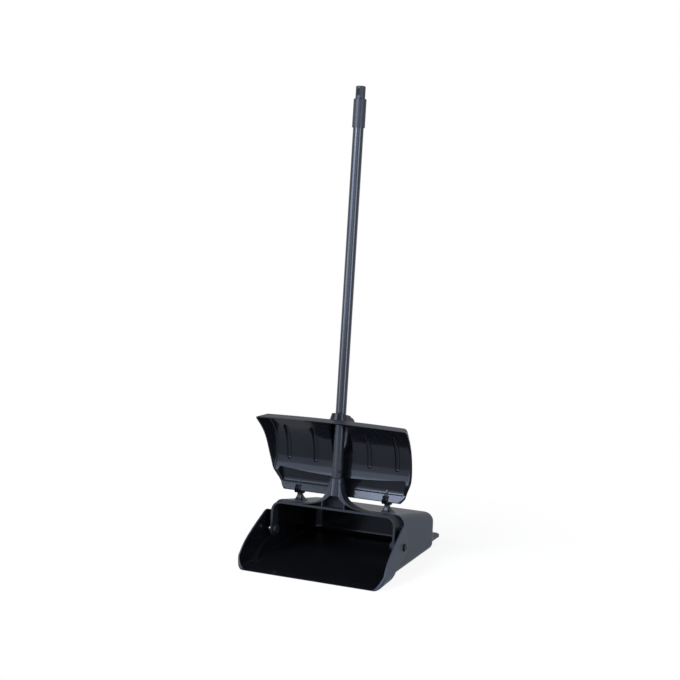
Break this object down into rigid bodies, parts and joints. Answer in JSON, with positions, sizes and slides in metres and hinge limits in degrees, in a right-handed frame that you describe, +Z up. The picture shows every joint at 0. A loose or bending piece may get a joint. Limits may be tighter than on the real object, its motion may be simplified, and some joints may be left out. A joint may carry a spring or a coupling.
{
  "type": "upright lidded dustpan",
  "caption": "Upright dustpan: a roofed bin with a wide thin-lipped mouth hangs in a yoke under a long pole, and a hinged lid closes over the mouth when the pole lifts it.",
  "frame": {"origin": "on the floor in the middle plane, directly under the axis that the handle turns on", "axes": "+X to the right, -Y towards the lip of the pan, +Z up"},
  "size_m": [0.3256, 0.3445, 0.929],
  "materials": {
    "pan_plastic": "black moulded plastic, fine matte grain outside and gloss inside",
    "lid_plastic": "black moulded plastic, glossy",
    "yoke_plastic": "black moulded plastic, half gloss",
    "pole_paint": "dark grey half gloss coating on a steel tube",
    "cap_plastic": "black moulded plastic, half gloss",
    "bright_steel": "bright plated steel",
    "dark_steel": "blackened steel"
  },
  "bodies": {
    "pan": {"pan": "pan_plastic", "hinge_pin_right": "bright_steel", "hinge_pin_left": "bright_steel"},
    "handle": {"yoke": "yoke_plastic", "pole": "pole_paint", "pole_screw": "dark_steel", "end_cap": "cap_plastic", "pivot_bush_right": "bright_steel", "pivot_bush_left": "bright_steel", "pivot_screw_right": "dark_steel", "pivot_screw_left": "dark_steel"},
    "lid": {"lid": "lid_plastic"}
  },
  "joints": [
    {"name": "handle_pivot", "type": "hinge", "parent": "pan", "child": "handle", "pos_m": [0, 0, 0.0525], "axis": [1, 0, 0], "range_deg": [0, 70]},
    {"name": "lid_hinge", "type": "hinge", "parent": "pan", "child": "lid", "pos_m": [0, 0.044, 0.13], "axis": [1, 0, 0], "range_deg": [0, 95.9]}
  ],
  "couplings": [
    {"joint": "lid_hinge", "follows": "handle_pivot", "ratio": 1.37}
  ]
}
